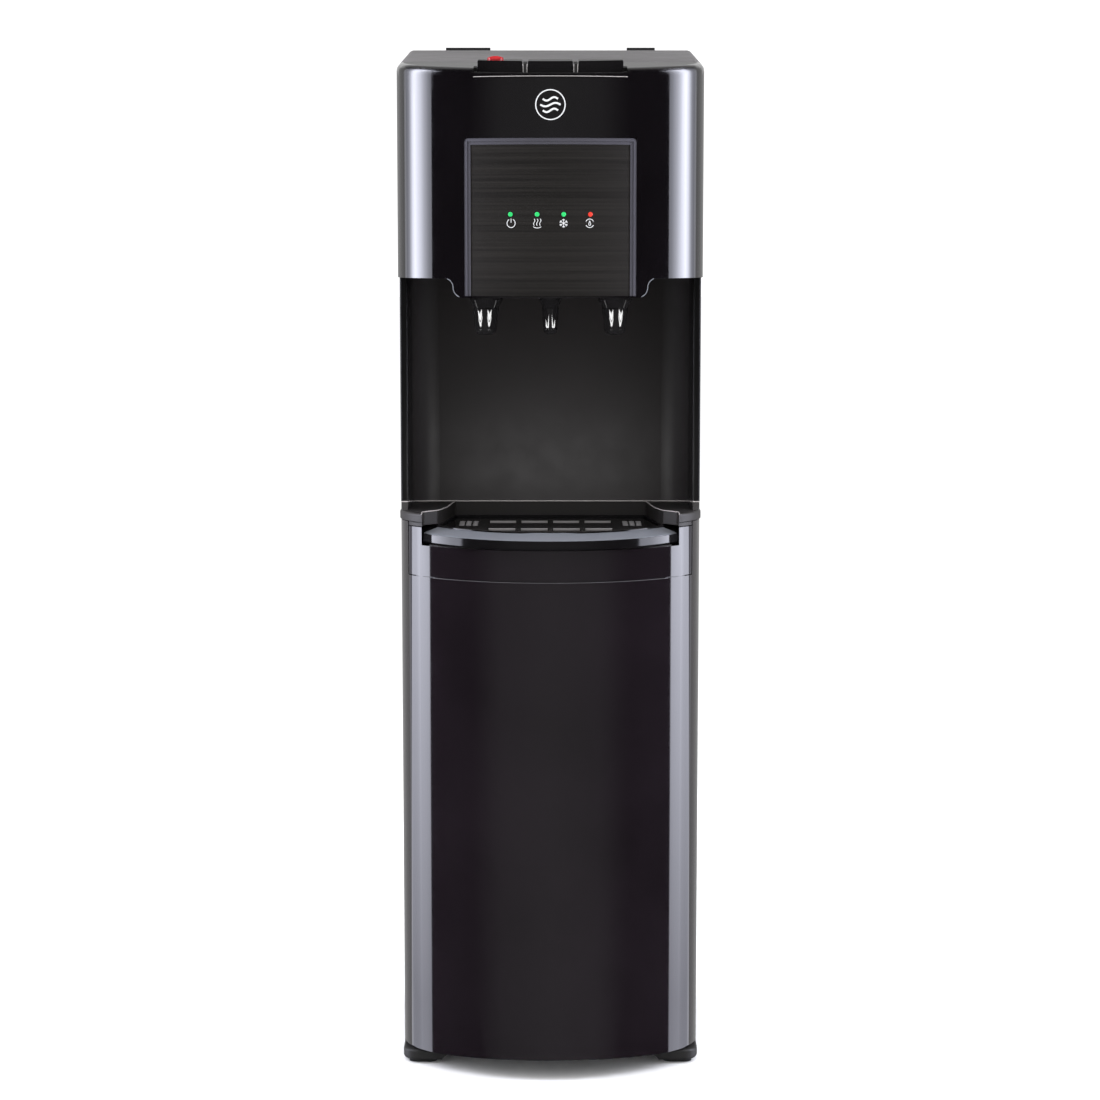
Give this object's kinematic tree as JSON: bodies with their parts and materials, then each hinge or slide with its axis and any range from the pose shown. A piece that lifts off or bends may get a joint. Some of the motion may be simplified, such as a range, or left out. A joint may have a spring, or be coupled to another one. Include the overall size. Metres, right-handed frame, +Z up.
{
  "type": "bottom-load water dispenser",
  "caption": "Floor-standing bottom-load water dispenser: bowed bottle-cabinet door, dispensing alcove with drip tray, three spouts and push buttons on a sloped head.",
  "frame": {"origin": "on the floor, under the centre of the bounding box", "axes": "+Z up, -Y is the front with the door and spouts, +X is the right side as seen from the front"},
  "size_m": [0.314, 0.36, 1.0687],
  "materials": {
    "piano_black": "piano gloss",
    "black_steel": "clear-coated black stainless look",
    "side_paint": "satin powder coat",
    "satin_black": "satin moulded",
    "moulded_black": "fine moulded grain",
    "brushed_dark": "horizontally brushed, dark",
    "gloss_black": "gloss",
    "satin_grey": "fine satin grain",
    "bezel_grey": "satin, blue-grey",
    "alcove_black": "satin moulded, dark front flanges",
    "spout_gloss": "high gloss",
    "safety_red": "gloss",
    "lens": "clear tinted",
    "rubber_black": "matte",
    "galvanised": "galvanised",
    "stainless": "brushed",
    "spring_steel": "bright",
    "copper": "drawn tube",
    "foam": "moulded foam",
    "black_enamel": "gloss enamel",
    "clear_hose": "translucent silicone",
    "white_plastic": "moulded",
    "board_green": "solder resist",
    "magnet_grey": "bonded ferrite"
  },
  "bodies": {
    "cabinet": {"base_pan": "moulded_black", "foot_pads": "rubber_black", "side_panel_left": "side_paint", "side_panel_right": "side_paint", "rear_panel": "side_paint", "panel_screws": "spring_steel", "mid_deck": "galvanised", "strike_plate": "galvanised", "frieze_panel": "black_steel", "tray_shelf": "satin_black", "backsplash": "alcove_black", "head_shroud": "piano_black", "top_cover": "satin_grey", "faceplate_bezel": "bezel_grey", "faceplate": "brushed_dark", "indicator_lenses": "lens", "button_housing": "moulded_black", "spring_hot": "spring_steel", "spring_room": "spring_steel", "spring_cold": "spring_steel", "spout_hot": "spout_gloss", "spout_cold": "spout_gloss", "spout_room": "spout_gloss", "outlet_valves": "white_plastic", "water_tubes": "clear_hose", "cold_tank": "stainless", "evaporator_coil": "copper", "tank_insulation": "foam", "hot_tank": "stainless", "heater_element": "stainless", "hot_tank_jacket": "foam", "water_pump": "white_plastic", "suction_hose": "clear_hose", "hose_clips": "white_plastic", "suction_probe": "white_plastic", "probe_holder": "moulded_black", "compressor": "black_enamel", "compressor_mounts": "rubber_black", "refrigerant_pipes": "copper", "filter_drier": "copper", "condenser": "black_enamel", "condenser_brackets": "side_paint", "control_board": "board_green", "switch_housing": "moulded_black", "cord_inlet": "rubber_black", "drain_spigot": "moulded_black"},
    "door": {"door_skin": "black_steel", "door_liner": "moulded_black", "door_pins": "spring_steel", "door_magnet": "magnet_grey"},
    "tray": {"drip_tray": "gloss_black"},
    "grille": {"drip_grille": "gloss_black"},
    "hot_key": {"button_hot": "gloss_black"},
    "safety_key": {"safety_button": "safety_red"},
    "room_key": {"button_room": "gloss_black"},
    "cold_key": {"button_cold": "gloss_black"},
    "hot_switch": {"rocker_hot": "gloss_black"},
    "cold_switch": {"rocker_cold": "gloss_black"},
    "drain_plug": {"drain_cap": "moulded_black"}
  },
  "joints": [
    {"name": "door_hinge", "type": "hinge", "parent": "cabinet", "child": "door", "pos_m": [-0.1492, -0.079, 0.295], "axis": [0, 0, -1], "range_deg": [0, 110]},
    {"name": "tray_slide", "type": "slide", "parent": "cabinet", "child": "tray", "axis": [0, -1, 0], "range_m": [0, 0.12]},
    {"name": "grille_lift", "type": "slide", "parent": "tray", "child": "grille", "axis": [0, 0, 1], "range_m": [0, 0.06]},
    {"name": "hot_press", "type": "hinge", "parent": "cabinet", "child": "hot_key", "pos_m": [-0.05, -0.13259, 1.02633], "axis": [1, 0, 0], "range_deg": [0, 5], "stiffness_Nm_per_rad": 0.6, "springref_deg": -6.88, "deforming": ["spring_hot"]},
    {"name": "room_press", "type": "hinge", "parent": "cabinet", "child": "room_key", "pos_m": [0, -0.13259, 1.02633], "axis": [1, 0, 0], "range_deg": [0, 5], "stiffness_Nm_per_rad": 0.6, "springref_deg": -6.88, "deforming": ["spring_room"]},
    {"name": "cold_press", "type": "hinge", "parent": "cabinet", "child": "cold_key", "pos_m": [0.05, -0.13259, 1.02633], "axis": [1, 0, 0], "range_deg": [0, 5], "stiffness_Nm_per_rad": 0.6, "springref_deg": -6.88, "deforming": ["spring_cold"]},
    {"name": "safety_press", "type": "slide", "parent": "hot_key", "child": "safety_key", "axis": [0, 0.1219, -0.9925], "range_m": [0, 0.002], "stiffness_N_per_m": 400, "springref_m": -0.002},
    {"name": "hot_switch_rock", "type": "hinge", "parent": "cabinet", "child": "hot_switch", "pos_m": [-0.014, 0.146, 1.026], "axis": [1, 0, 0], "range_deg": [0, 16]},
    {"name": "cold_switch_rock", "type": "hinge", "parent": "cabinet", "child": "cold_switch", "pos_m": [0.014, 0.146, 1.026], "axis": [1, 0, 0], "range_deg": [0, 16]},
    {"name": "drain_cap_pull", "type": "slide", "parent": "cabinet", "child": "drain_plug", "axis": [0, 1, 0], "range_m": [0, 0.02]}
  ]
}
